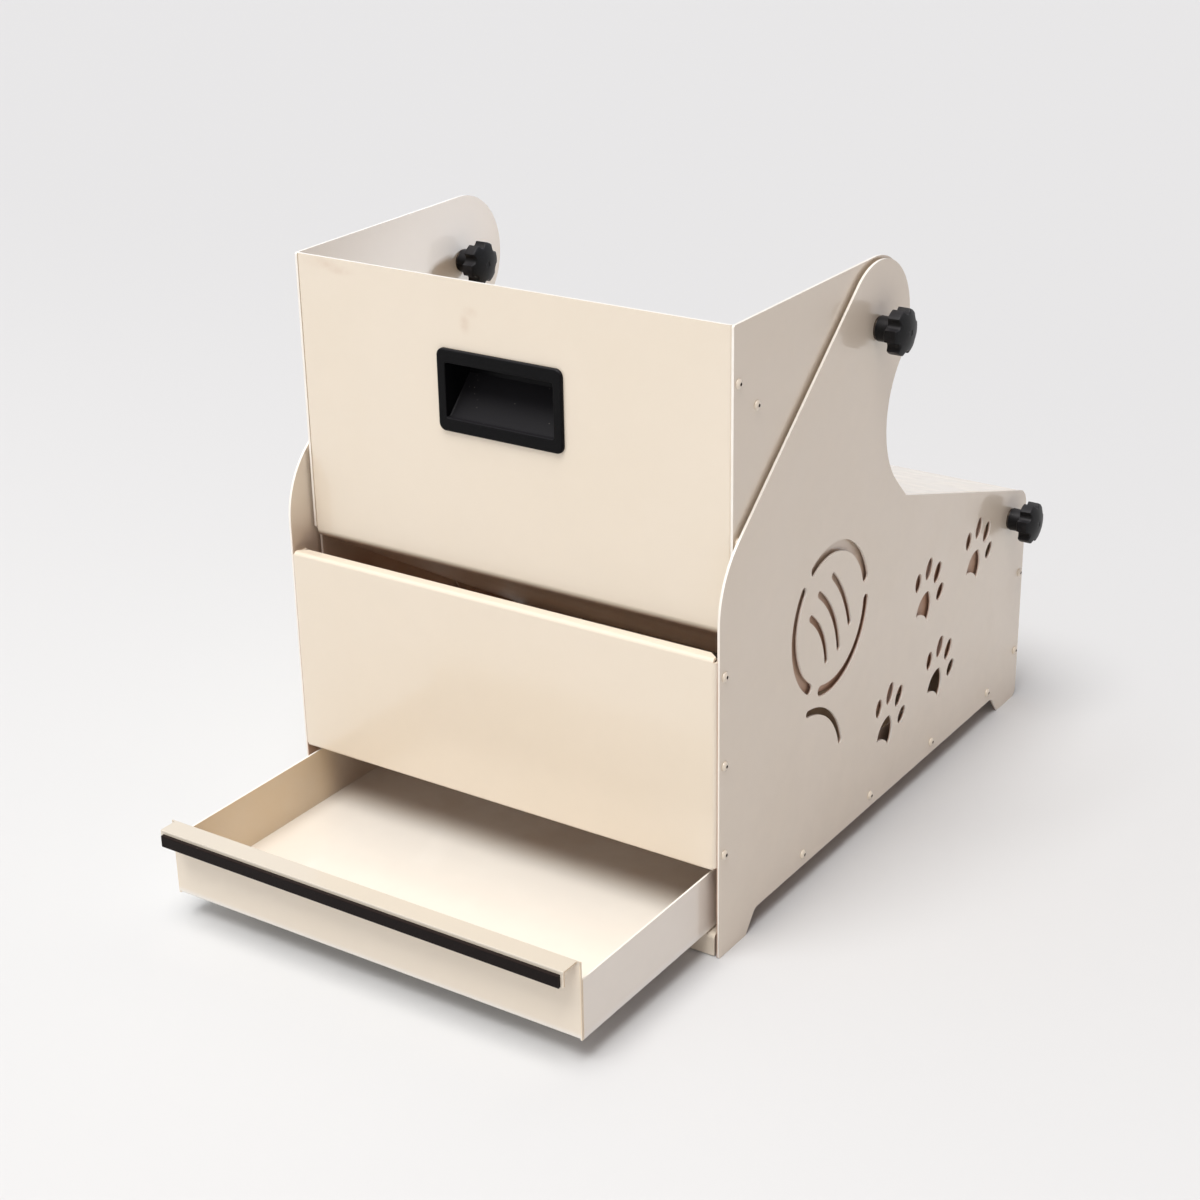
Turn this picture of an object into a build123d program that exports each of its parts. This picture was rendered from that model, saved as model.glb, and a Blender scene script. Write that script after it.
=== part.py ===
"""Drawer litter box: a sheet-metal housing with a tilting litter bucket, an entry deck and a waste drawer.

Millimetres, +Z up. X runs across the box, the front faces -Y.
The origin is on the floor, under the middle of the outline with the drawer standing part open.
Side profiles are drawn in a plane whose first axis counts millimetres back from the housing's front edge.
"""

import math
import os

from build123d import *

os.makedirs("parts", exist_ok=True)

# Housing
housing_width = 400.0
housing_depth = 538.0
panel_sheet = 2.0
drawer_reach = 188.0  # how far the drawer's grip stands in front of the housing
front_y = -(housing_depth - drawer_reach) / 2
panel_inner = housing_width / 2 - panel_sheet
recess_height = 17.5  # clear height between the side panels' feet
foot_length = 40.0

# Tilting bucket: pivot, shoulder lobes and side plates
pivot_y = 233.0
pivot_z = 434.0
lobe_radius = 52.5
wing_lobe_radius = 54.5
neck_y = 324.0
neck_z = 349.0
neck_radius = math.dist((pivot_y, pivot_z), (neck_y, neck_z)) - lobe_radius
shoulder_angle = 39.8
wing_outer = 195.5
wing_sheet = 2.0
wing_inner = wing_outer - wing_sheet
bucket_front = 25.2
bucket_bottom = 257.0
bucket_floor = 98.0

# Entry deck
deck_slope = 0.3074
deck_front = 292.0
deck_rear = 524.0
deck_height = 279.5  # at its front edge
deck_sheet = 1.5
deck_half = 196.7
deck_pivot_y = 504.7
deck_pivot_z = 187.5

# Drawer
drawer_half = 190.4
drawer_front = -169.0
drawer_rear = 331.0
drawer_bottom = 21.5
drawer_wall_top = 70.6
drawer_front_top = 85.4
drawer_sheet = 1.5
lip_depth = 16.0
lip_drop = 12.5
lip_half = 187.2
seam_width = 0.5  # groove where the side walls meet the front

# Fasteners
screw_radius = 2.0
screw_head_radius = 4.0
screw_head_height = 2.2
screw_fit = 0.1
bolt_radius = 4.0
bolt_fit = 0.08
front_screws = [(7.5, 87.0), (7.5, 161.0), (7.5, 233.0)]
base_screws = [(129.3 + 114.8 * n, 28.0) for n in range(4)]
rear_screws = [(531.0, 48.0), (531.0, 126.0)]
housing_screws = front_screws + base_screws + rear_screws
wall_screws = [(31.8, 445.3), (57.4, 422.7), (31.8, 327.0)]
chute_screws = [(100.0, 229.0), (225.0, 154.0)]
rise_screws = [(396.0, 141.0), (446.5, 186.0)]
wing_screws = wall_screws + chute_screws + rise_screws


def side_plane(x):
    """Side view at x: the first axis runs back from the housing's front edge, the second runs up."""
    return Plane(origin=(x, front_y, 0), x_dir=(0, 1, 0), z_dir=(1, 0, 0))


def front_plane(y):
    """Front view at a distance y behind the housing's front edge: across, then up."""
    return Plane(origin=(0, front_y + y, 0), x_dir=(1, 0, 0), z_dir=(0, -1, 0))


def deck_line(y):
    """Height of the deck's top surface and of the panels' ramp edge."""
    return deck_height - deck_slope * (y - deck_front)


def fold_sheet(plane, points, bend, sheet, width):
    """A folded sheet: a path thickened to its right-hand side and drawn out along the plane's normal."""
    with BuildPart() as fold:
        with BuildSketch(plane):
            with BuildLine():
                FilletPolyline(*points, radius=bend)
                offset(amount=sheet, side=Side.RIGHT)
            make_face()
        extrude(amount=width)
    return fold.part


# Side panels: laser-cut plates with a shoulder lobe, a hollow neck and two feet
shoulder = math.radians(shoulder_angle)
lobe_start = (pivot_y - lobe_radius * math.sin(shoulder), pivot_z + lobe_radius * math.cos(shoulder))
front_corner = (0.0, lobe_start[1] - lobe_start[0] * math.tan(shoulder))
neck_reach = lobe_radius / math.dist((pivot_y, pivot_z), (neck_y, neck_z))
neck_start = (pivot_y + neck_reach * (neck_y - pivot_y), pivot_z + neck_reach * (neck_z - pivot_z))
neck_middle = (neck_y - neck_radius, neck_z)
neck_end = (neck_y - neck_radius * math.sqrt(0.5), neck_z - neck_radius * math.sqrt(0.5))
ramp_start_y = neck_end[0] + 18.5
lobe_crown = (pivot_y + lobe_radius * math.cos(math.radians(30)), pivot_z + lobe_radius * math.sin(math.radians(30)))
foot_slope = 14.0
front_radius = 75.0
heel_radius = 8.0

paw_tilt = -28.0
paw_pads = [(431.0, 168.0), (334.3, 164.1), (362.0, 82.0), (269.0, 75.7)]
inner_toe = (9.5, 32.5)
outer_toe = (24.0, 18.0)
yarn_centre = (168.0, 218.0)
yarn_radius = 58.0
yarn_slot = 9.0
thread_slot = 6.0

with BuildSketch() as paw:
    with BuildLine():
        ThreePointArc((-12, -10), (-10.5, 6), (0, 15.5))
        ThreePointArc((0, 15.5), (10.5, 6), (12, -10))
        ThreePointArc((12, -10), (0, -6), (-12, -10))
    make_face()
    for side in (-1, 1):
        with Locations(Location((side * inner_toe[0], inner_toe[1]), -side * 5)):
            Ellipse(6.2, 9.8)
        with Locations(Location((side * outer_toe[0], outer_toe[1]), -side * 17)):
            Ellipse(5.8, 8.3)

with BuildSketch() as yarn:
    for start, turn in ((15, 105), (140, 95), (255, 100)):
        with BuildLine(mode=Mode.PRIVATE) as ring:
            CenterArc((0, 0), yarn_radius, start, turn)
        SlotArc(ring.edge(), yarn_slot)
    for radius, half_turn in ((64, 24), (84, 23), (104, 16)):
        with BuildLine(mode=Mode.PRIVATE) as thread:
            CenterArc((-70, -40), radius, 30 - half_turn, 2 * half_turn)
        SlotArc(thread.edge(), thread_slot)
    with BuildLine(mode=Mode.PRIVATE) as tail:
        CenterArc((-40, -130), 62, 15, 70)
    SlotArc(tail.edge(), thread_slot)

with BuildPart() as right_side_panel:
    with BuildSketch(side_plane(panel_inner)) as panel_outline:
        with BuildLine():
            Polyline((0, 0), front_corner, lobe_start)
            ThreePointArc(lobe_start, lobe_crown, neck_start)
            ThreePointArc(neck_start, neck_middle, neck_end)
            Polyline(
                neck_end,
                (ramp_start_y, deck_line(ramp_start_y)),
                (housing_depth, deck_line(housing_depth)),
                (housing_depth, 0),
                (housing_depth - foot_length, 0),
                (housing_depth - foot_length - foot_slope, recess_height),
                (foot_length + foot_slope, recess_height),
                (foot_length, 0),
                (0, 0),
            )
        make_face()
        for y, z, radius in (
            (*front_corner, front_radius),
            (housing_depth, deck_line(housing_depth), 18),
            (housing_depth, 0, heel_radius),
            (foot_length + foot_slope, recess_height, 9),
            (housing_depth - foot_length - foot_slope, recess_height, 9),
            (0, 0, 2),
        ):
            fillet(panel_outline.vertices().sort_by_distance((y, z, 0))[0], radius)
        with Locations(*[Location((y, z), paw_tilt) for y, z in paw_pads]):
            add(paw.sketch, mode=Mode.SUBTRACT)
        with Locations(yarn_centre):
            add(yarn.sketch, mode=Mode.SUBTRACT)
        with Locations(*housing_screws):
            Circle(screw_radius + screw_fit, mode=Mode.SUBTRACT)
        with Locations((pivot_y, pivot_z), (deck_pivot_y, deck_pivot_z)):
            Circle(bolt_radius + bolt_fit, mode=Mode.SUBTRACT)
    extrude(amount=panel_sheet)
right_side_panel.part.label = "right_side_panel"
export_step(right_side_panel.part, "parts/right_side_panel.step")

with BuildPart() as left_side_panel:
    add(mirror(right_side_panel.part, about=Plane.YZ))
left_side_panel.part.label = "left_side_panel"
export_step(left_side_panel.part, "parts/left_side_panel.step")

# Lower front panel: a shallow tray whose face stands just in front of the side panels' edges
front_face = -2.0
front_top = 249.4
front_base = 75.5
flange_depth = 10.0
side_flange = 15.0
mitre_start = 2.5  # the top flange's ends are cut off slantwise from here back
mitre_run = 11.0

with BuildPart() as lower_front_panel:
    add(
        fold_sheet(
            side_plane(-panel_inner + 2.5),
            [
                (front_face + flange_depth, front_base),
                (front_face, front_base),
                (front_face, front_top),
                (front_face + flange_depth, front_top),
            ],
            3.0,
            panel_sheet,
            2 * panel_inner - 5,
        )
    )
    add(
        fold_sheet(
            Plane(origin=(0, front_y, front_base + 3), x_dir=(1, 0, 0), z_dir=(0, 0, 1)),
            [
                (panel_inner, side_flange),
                (panel_inner, front_face),
                (-panel_inner, front_face),
                (-panel_inner, side_flange),
            ],
            3.0,
            panel_sheet,
            front_top - front_base - 6,
        )
    )
    with BuildSketch(side_plane(-panel_inner)):
        with Locations(*front_screws):
            Circle(screw_radius + screw_fit)
    extrude(amount=2 * panel_inner, mode=Mode.SUBTRACT)
    with BuildSketch(Plane.XY.offset(front_top - panel_sheet - 0.5)):
        for side in (-1, 1):
            with BuildLine():
                Polyline(
                    (side * panel_inner, front_y + front_face + mitre_start),
                    (side * panel_inner, front_y + front_face + flange_depth + 1),
                    (side * (panel_inner - mitre_run), front_y + front_face + flange_depth + 1),
                    close=True,
                )
            make_face()
    extrude(amount=panel_sheet + 1, mode=Mode.SUBTRACT)
lower_front_panel.part.label = "lower_front_panel"
export_step(lower_front_panel.part, "parts/lower_front_panel.step")

# Base plate: the drawer slides on it; its front edge folds down to the floor, its sides fold up
base_front = 1.0
base_rear = 533.0
base_top = recess_height + panel_sheet
base_flange_top = 37.0

with BuildPart() as base_plate:
    add(
        fold_sheet(
            side_plane(-panel_inner + 2.5),
            [(base_front, 1.0), (base_front, base_top), (base_rear, base_top)],
            4.0,
            panel_sheet,
            2 * panel_inner - 5,
        )
    )
    add(
        fold_sheet(
            front_plane(515.0),
            [
                (panel_inner, base_flange_top),
                (panel_inner, recess_height),
                (-panel_inner, recess_height),
                (-panel_inner, base_flange_top),
            ],
            3.0,
            panel_sheet,
            490.0,
        )
    )
    with BuildSketch(side_plane(-panel_inner)):
        with Locations(*base_screws):
            Circle(screw_radius + screw_fit)
    extrude(amount=2 * panel_inner, mode=Mode.SUBTRACT)
base_plate.part.label = "base_plate"
export_step(base_plate.part, "parts/base_plate.step")

# Rear panel: closes the back below the deck
rear_panel_top = 176.0

with BuildPart() as rear_panel:
    add(
        fold_sheet(
            side_plane(-panel_inner + 2.5),
            [(housing_depth - 12, rear_panel_top), (housing_depth, rear_panel_top), (housing_depth, recess_height)],
            3.0,
            panel_sheet,
            2 * panel_inner - 5,
        )
    )
    add(
        fold_sheet(
            Plane(origin=(0, front_y, recess_height + 2.5), x_dir=(1, 0, 0), z_dir=(0, 0, 1)),
            [
                (-panel_inner, housing_depth - 16),
                (-panel_inner, housing_depth),
                (panel_inner, housing_depth),
                (panel_inner, housing_depth - 16),
            ],
            3.0,
            panel_sheet,
            rear_panel_top - recess_height - 6,
        )
    )
    with BuildSketch(side_plane(-panel_inner)):
        with Locations(*rear_screws):
            Circle(screw_radius + screw_fit)
    extrude(amount=2 * panel_inner, mode=Mode.SUBTRACT)
rear_panel.part.label = "rear_panel"
export_step(rear_panel.part, "parts/rear_panel.step")

# Housing screws: button heads outside, hexagon nuts inside the flanges
nut_height = 3.2
nut_across = 7.0
screw_length = 2 * panel_sheet + nut_height + 0.8

with BuildPart() as screw:
    with BuildSketch():
        Circle(screw_head_radius)
    extrude(amount=screw_head_height)
    fillet(screw.edges().group_by(Axis.Z)[-1], 1.6)
    with BuildSketch():
        Circle(screw_radius)
    extrude(amount=-screw_length)
    with BuildSketch(Plane.XY.offset(screw_head_height)):
        RegularPolygon(1.3, 6)
    extrude(amount=-1.2, mode=Mode.SUBTRACT)

with BuildPart() as nut:
    with BuildSketch():
        RegularPolygon(nut_across / 2, 6, major_radius=False)
        Circle(screw_radius, mode=Mode.SUBTRACT)
    extrude(amount=nut_height)


def both_sides(piece, spots, x):
    """Copies of a piece that points along +Z, set on the right face at x and mirrored to the left."""
    places = [Plane(origin=(x, front_y + y, z), x_dir=(0, 1, 0), z_dir=(1, 0, 0)).location * piece for y, z in spots]
    return places + [mirror(place, about=Plane.YZ) for place in places]


with BuildPart() as housing_screw_set:
    add(both_sides(screw.part, housing_screws, panel_inner + panel_sheet))
housing_screw_set.part.label = "housing_screws"
export_step(housing_screw_set.part, "parts/housing_screws.step")

with BuildPart() as housing_nut_set:
    add(both_sides(nut.part, housing_screws, panel_inner - panel_sheet - nut_height))
housing_nut_set.part.label = "housing_nuts"
export_step(housing_nut_set.part, "parts/housing_nuts.step")

# Bucket side plates: they hang on the pivot bolts just inside the side panels
wing_neck_radius = math.dist((pivot_y, pivot_z), (neck_y, neck_z)) - wing_lobe_radius
wing_reach = wing_lobe_radius / math.dist((pivot_y, pivot_z), (neck_y, neck_z))
wing_neck_start = (pivot_y + wing_reach * (neck_y - pivot_y), pivot_z + wing_reach * (neck_z - pivot_z))
wing_top = pivot_z + wing_lobe_radius
wing_crown = (pivot_y + wing_lobe_radius * math.sqrt(0.5), pivot_z + wing_lobe_radius * math.sqrt(0.5))
wing_neck_middle = (neck_y - wing_neck_radius * math.cos(0.35), neck_z + wing_neck_radius * math.sin(0.35))
wing_neck_end = (neck_y - wing_neck_radius, neck_z)
deck_flange = 14.0
deck_gap = deck_flange + 0.6  # the deck's side flanges rest just above the wings
wing_rear = 462.0
chute_end = 290.0
rise_start = 350.0
rise_end = (455.0, 163.0)
swing_radius = 286.0
swing_start = bucket_front + 6
swing_end = 205.0


def swing_point(y):
    """A point of the arc about the pivot that swings clear of the front panel's flange and nuts."""
    return (y, pivot_z - math.sqrt(swing_radius**2 - (pivot_y - y) ** 2))


with BuildPart() as right_bucket_wing:
    with BuildSketch(side_plane(wing_inner)) as wing_outline:
        with BuildLine():
            Polyline(
                wing_neck_end,
                (wing_neck_end[0], deck_line(wing_neck_end[0]) - deck_gap),
                (wing_rear, deck_line(wing_rear) - deck_gap),
                (wing_rear, rise_end[1]),
                (rise_start + 52, bucket_floor),
                (pivot_y, bucket_floor),
                swing_point(swing_end),
            )
            ThreePointArc(
                swing_point(swing_end),
                swing_point((swing_start + swing_end) / 2),
                swing_point(swing_start),
            )
            Polyline(
                swing_point(swing_start),
                (swing_start, bucket_bottom),
                (bucket_front, bucket_bottom + 6),
                (bucket_front, wing_top),
                (pivot_y, wing_top),
            )
            ThreePointArc((pivot_y, wing_top), wing_crown, wing_neck_start)
            ThreePointArc(wing_neck_start, wing_neck_middle, wing_neck_end)
        make_face()
        for y, z, radius in (
            (wing_neck_end[0], deck_line(wing_neck_end[0]) - deck_gap, 12),
            (wing_rear, deck_line(wing_rear) - deck_gap, 8),
            (wing_rear, rise_end[1], 20),
            (rise_start + 52, bucket_floor, 20),
            (bucket_front, wing_top, 1.5),
        ):
            fillet(wing_outline.vertices().sort_by_distance((y, z, 0))[0], radius)
        with Locations(*wing_screws):
            Circle(screw_radius + screw_fit, mode=Mode.SUBTRACT)
        with Locations((pivot_y, pivot_z)):
            Circle(bolt_radius + bolt_fit, mode=Mode.SUBTRACT)
    extrude(amount=wing_sheet)
right_bucket_wing.part.label = "right_bucket_wing"
export_step(right_bucket_wing.part, "parts/right_bucket_wing.step")

with BuildPart() as left_bucket_wing:
    add(mirror(right_bucket_wing.part, about=Plane.YZ))
left_bucket_wing.part.label = "left_bucket_wing"
export_step(left_bucket_wing.part, "parts/left_bucket_wing.step")

# Bucket front: wall and sloping floor in one sheet, with side flanges screwed to the wings
handle_x = -4.0
handle_z = 402.0
cup_width = 104.0
cup_height = 56.0
bucket_sheet = 2.0
ledge = 10.0
wall_flange = 14.0
corner_bend = 1.6

with BuildPart() as bucket_front_sheet:
    add(
        fold_sheet(
            side_plane(-wing_inner),
            [
                (chute_end + ledge, bucket_floor),
                (chute_end, bucket_floor),
                (bucket_front, bucket_bottom),
                (bucket_front, wing_top),
            ],
            7.0,
            bucket_sheet,
            2 * wing_inner,
        )
    )
    upright = bucket_front_sheet.edges().filter_by(Axis.Z)
    fillet(upright.group_by(Axis.Y)[0], corner_bend)
    for side in (0, 1):
        with BuildSketch(side_plane(-wing_inner if side == 0 else wing_inner - bucket_sheet)):
            with Locations((bucket_front + bucket_sheet, 272.0)):
                Rectangle(wall_flange - bucket_sheet, 206.0, align=(Align.MIN, Align.MIN))
            with Locations((bucket_front + bucket_sheet, 410.0)):
                Rectangle(42.0 - bucket_sheet, 48.0, align=(Align.MIN, Align.MIN))
            with Locations(*wall_screws):
                Circle(screw_radius + screw_fit, mode=Mode.SUBTRACT)
        extrude(amount=bucket_sheet)
        with BuildSketch(side_plane(-wing_inner if side == 0 else wing_inner - bucket_sheet)):
            with BuildLine():
                Polyline((60, 240), (60, 258), (chute_end - 25, 132), (chute_end - 25, 114), close=True)
            make_face()
            with Locations(*chute_screws):
                Circle(screw_radius + screw_fit, mode=Mode.SUBTRACT)
        extrude(amount=bucket_sheet)
    with BuildSketch(front_plane(bucket_front - 1)):
        with Locations((handle_x, handle_z)):
            RectangleRounded(cup_width, cup_height, 4)
    extrude(amount=-(bucket_sheet + 2), mode=Mode.SUBTRACT)
bucket_front_sheet.part.label = "bucket_front_sheet"
export_step(bucket_front_sheet.part, "parts/bucket_front_sheet.step")

# Bucket rear: rising floor and back wall, with a lip that stiffens the top
back_wall = rise_end[0]
back_top = deck_line(back_wall) - deck_gap - 4

with BuildPart() as bucket_rear_sheet:
    add(
        fold_sheet(
            side_plane(-wing_inner),
            [
                (back_wall - 10, back_top),
                (back_wall, back_top),
                rise_end,
                (rise_start, bucket_floor),
                (rise_start - ledge, bucket_floor),
            ],
            4.0,
            bucket_sheet,
            2 * wing_inner,
        )
    )
    for x in (-wing_inner, wing_inner - bucket_sheet):
        with BuildSketch(side_plane(x)):
            with BuildLine():
                Polyline(
                    (back_wall - 1, back_top - 5),
                    (back_wall - 14, back_top - 5),
                    (back_wall - 14, rise_end[1] + 10),
                    (rise_start + 30, 136),
                    (rise_start + 30, 118),
                    (back_wall - 1, rise_end[1]),
                    close=True,
                )
            make_face()
            with Locations(*rise_screws):
                Circle(screw_radius + screw_fit, mode=Mode.SUBTRACT)
        extrude(amount=bucket_sheet)
bucket_rear_sheet.part.label = "bucket_rear_sheet"
export_step(bucket_rear_sheet.part, "parts/bucket_rear_sheet.step")

# Sieve: a slotted plate between the two floor sheets, above the drawer
sieve_sheet = 1.5
sieve_half = 190.0
slot_length = 42.0
slot_width = 5.0
slot_count = 25
slot_pitch = 14.0

with BuildPart() as sieve_plate:
    with BuildSketch(Plane.XY.offset(bucket_floor + bucket_sheet)):
        with Locations((0, front_y + (chute_end + rise_start) / 2)):
            Rectangle(2 * sieve_half, rise_start - chute_end - 6)
            with GridLocations(slot_pitch, 0, slot_count, 1):
                SlotOverall(slot_length, slot_width, rotation=90, mode=Mode.SUBTRACT)
    extrude(amount=sieve_sheet)
sieve_plate.part.label = "sieve_plate"
export_step(sieve_plate.part, "parts/sieve_plate.step")

# Bucket screws and nuts
with BuildPart() as bucket_screw_set:
    add(both_sides(screw.part, wing_screws, wing_outer))
bucket_screw_set.part.label = "bucket_screws"
export_step(bucket_screw_set.part, "parts/bucket_screws.step")

with BuildPart() as bucket_nut_set:
    add(both_sides(nut.part, wing_screws, wing_inner - bucket_sheet - nut_height))
bucket_nut_set.part.label = "bucket_nuts"
export_step(bucket_nut_set.part, "parts/bucket_nuts.step")

# Recessed pull: a bezel in front of the sheet and a cup whose floor rises towards the back
bezel_width = 113.5
bezel_height = 65.0
bezel_sheet = 3.0
mouth_width = 98.0
mouth_height = 43.5
cup_depth = 30.0
cup_wall = 2.0
mouth_low = handle_z - mouth_height / 2
mouth_high = handle_z + mouth_height / 2

with BuildPart() as pull_cup:
    with BuildSketch(front_plane(bucket_front)):
        with Locations((handle_x, handle_z)):
            RectangleRounded(bezel_width, bezel_height, 6)
    extrude(amount=bezel_sheet)
    fillet(pull_cup.edges().group_by(Axis.Y)[0], 1.5)
    with BuildSketch(front_plane(bucket_front)):
        with Locations((handle_x, handle_z)):
            RectangleRounded(cup_width - 0.4, cup_height - 0.4, 4)
    extrude(amount=-cup_depth)
    with BuildSketch(side_plane(handle_x - mouth_width / 2)):
        with BuildLine():
            Polyline(
                (bucket_front - bezel_sheet - 1, mouth_low),
                (bucket_front - bezel_sheet - 1, mouth_high),
                (bucket_front + cup_wall, mouth_high),
                (bucket_front + cup_wall, handle_z + cup_height / 2 - cup_wall),
                (bucket_front + cup_depth - cup_wall, handle_z + cup_height / 2 - cup_wall),
                (bucket_front + cup_depth - cup_wall, handle_z + 6),
                (bucket_front + 1, mouth_low),
                close=True,
            )
        make_face()
    extrude(amount=mouth_width, mode=Mode.SUBTRACT)
pull_cup.part.label = "pull_cup"
export_step(pull_cup.part, "parts/pull_cup.step")

# Entry deck: folded sheet that hinges up on two bolts near its rear edge
deck_lip = 10.0
deck_tail = 15.0
ear_radius = 13.0

with BuildPart() as entry_deck:
    add(
        fold_sheet(
            side_plane(-deck_half),
            [
                (deck_front, deck_line(deck_front) - deck_lip),
                (deck_front, deck_line(deck_front)),
                (deck_rear, deck_line(deck_rear)),
                (deck_rear, deck_line(deck_rear) - deck_tail),
            ],
            3.0,
            deck_sheet,
            2 * deck_half,
        )
    )
    fillet(entry_deck.edges().group_by(Axis.X)[0].sort_by(Axis.Z)[-1], 1.2)
    fillet(entry_deck.edges().group_by(Axis.X)[-1].sort_by(Axis.Z)[-1], 1.2)
    for x in (-deck_half, deck_half - deck_sheet):
        with BuildSketch(side_plane(x)):
            with BuildLine():
                Polyline(
                    (deck_front + 4, deck_line(deck_front + 4) - 1.5),
                    (deck_rear - 4, deck_line(deck_rear - 4) - 1.5),
                    (deck_rear - 4, deck_pivot_z),
                    (deck_pivot_y + ear_radius, deck_pivot_z),
                    (deck_pivot_y - ear_radius, deck_pivot_z),
                    (deck_pivot_y - ear_radius - 10, deck_line(deck_pivot_y - ear_radius - 10) - deck_flange),
                    (deck_front + 4, deck_line(deck_front + 4) - deck_flange),
                    close=True,
                )
            make_face()
            with Locations((deck_pivot_y, deck_pivot_z)):
                Circle(ear_radius)
                Circle(bolt_radius, mode=Mode.SUBTRACT)
        extrude(amount=deck_sheet)
entry_deck.part.label = "entry_deck"
export_step(entry_deck.part, "parts/entry_deck.step")

# Clamping bolts: domed heads on one side of a plate, the shank running out into a star knob
bolt_head_radius = 9.0
bolt_head_height = 3.6


def dome_bolt(x_head, direction, y, z, length):
    """A round-headed bolt along X whose head seats at x_head and whose shank points along direction."""
    with BuildPart() as bolt:
        with BuildSketch():
            Circle(bolt_head_radius)
        extrude(amount=-bolt_head_height)
        fillet(bolt.edges().group_by(Axis.Z)[0], 2.4)
        with BuildSketch():
            Circle(bolt_radius)
        extrude(amount=length)
        chamfer(bolt.edges().group_by(Axis.Z)[-1], 0.8)
    seat = Plane(origin=(x_head, front_y + y, z), x_dir=(0, 1, 0), z_dir=(direction, 0, 0))
    return seat.location * bolt.part


deck_inner = deck_half - deck_sheet
panel_outer = panel_inner + panel_sheet
washer_sheet = 1.2
knob_gap = 0.3
hub_length = 14.0
head_thickness = 12.0
grip_length = 16.0  # of thread inside each knob
right_knob_base = panel_outer + washer_sheet + knob_gap
left_knob_base = -wing_inner + washer_sheet + knob_gap

bolts = {
    "right_pivot_bolt": (wing_inner, 1, pivot_y, pivot_z, right_knob_base + grip_length - wing_inner),
    "left_pivot_bolt": (-panel_outer, 1, pivot_y, pivot_z, left_knob_base + grip_length + panel_outer),
    "right_deck_bolt": (deck_inner, 1, deck_pivot_y, deck_pivot_z, right_knob_base + grip_length - deck_inner),
    "left_deck_bolt": (-deck_inner, -1, deck_pivot_y, deck_pivot_z, right_knob_base + grip_length - deck_inner),
}
for name, (x, direction, y, z, length) in bolts.items():
    with BuildPart() as clamp_bolt:
        add(dome_bolt(x, direction, y, z, length))
    clamp_bolt.part.label = name
    export_step(clamp_bolt.part, f"parts/{name}.step")

# Washers and spacers around the bolts
washer_radius = 9.4
spacer_gap = 0.15


def ring_x(x_from, thickness, y, z):
    """A washer along X, from x_from towards +X."""
    with BuildPart() as ring_part:
        with BuildSketch(side_plane(x_from)):
            with Locations((y, z)):
                Circle(washer_radius)
                Circle(bolt_radius + bolt_fit, mode=Mode.SUBTRACT)
        extrude(amount=thickness)
    return ring_part.part


with BuildPart() as knob_washers:
    add(ring_x(panel_outer, washer_sheet, pivot_y, pivot_z))
    add(ring_x(panel_outer, washer_sheet, deck_pivot_y, deck_pivot_z))
    add(ring_x(-panel_outer - washer_sheet, washer_sheet, deck_pivot_y, deck_pivot_z))
knob_washers.part.label = "knob_washers"
export_step(knob_washers.part, "parts/knob_washers.step")

with BuildPart() as left_pivot_washer:
    add(ring_x(-wing_inner, washer_sheet, pivot_y, pivot_z))
left_pivot_washer.part.label = "left_pivot_washer"
export_step(left_pivot_washer.part, "parts/left_pivot_washer.step")

with BuildPart() as pivot_spacers:
    add(ring_x(wing_outer + spacer_gap, panel_inner - wing_outer - spacer_gap, pivot_y, pivot_z))
    add(ring_x(-panel_inner, panel_inner - wing_outer - spacer_gap, pivot_y, pivot_z))
pivot_spacers.part.label = "pivot_spacers"
export_step(pivot_spacers.part, "parts/pivot_spacers.step")

with BuildPart() as deck_spacers:
    add(ring_x(deck_half + spacer_gap, panel_inner - deck_half - spacer_gap, deck_pivot_y, deck_pivot_z))
    add(ring_x(-panel_inner, panel_inner - deck_half - spacer_gap, deck_pivot_y, deck_pivot_z))
deck_spacers.part.label = "deck_spacers"
export_step(deck_spacers.part, "parts/deck_spacers.step")

# Star knobs: a round hub, a six-lobed domed head and a threaded insert moulded into the hub
hub_radius = 10.0
head_radius = 18.5
insert_radius = 6.0
lobe_count = 6
notch_radius = 4.4

with BuildPart() as knob_insert:
    with BuildSketch():
        RegularPolygon(insert_radius, 6)
        Circle(bolt_radius + 0.05, mode=Mode.SUBTRACT)
    extrude(amount=grip_length + 1)

with BuildPart() as star_knob:
    with BuildSketch():
        Circle(hub_radius)
    extrude(amount=hub_length + 1, taper=2)
    with BuildSketch(Plane.XY.offset(hub_length)) as star:
        Circle(head_radius)
        with PolarLocations(head_radius + 0.4, lobe_count, start_angle=180 / lobe_count):
            Circle(notch_radius, mode=Mode.SUBTRACT)
        fillet(star.vertices(), 1.2)
    extrude(amount=head_thickness)
    with BuildSketch(Plane.XZ) as dome_side:
        with BuildLine():
            crown = (0, hub_length + head_thickness)
            rim = (head_radius + 1, hub_length + head_thickness - 4.5)
            RadiusArc(rim, crown, -42)
            Polyline(crown, (0, crown[1] + 3), (rim[0], crown[1] + 3), rim)
        make_face()
    revolve(axis=Axis.Z, mode=Mode.SUBTRACT)
    with BuildSketch():
        RegularPolygon(insert_radius, 6)
    extrude(amount=grip_length + 1, mode=Mode.SUBTRACT)

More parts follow.
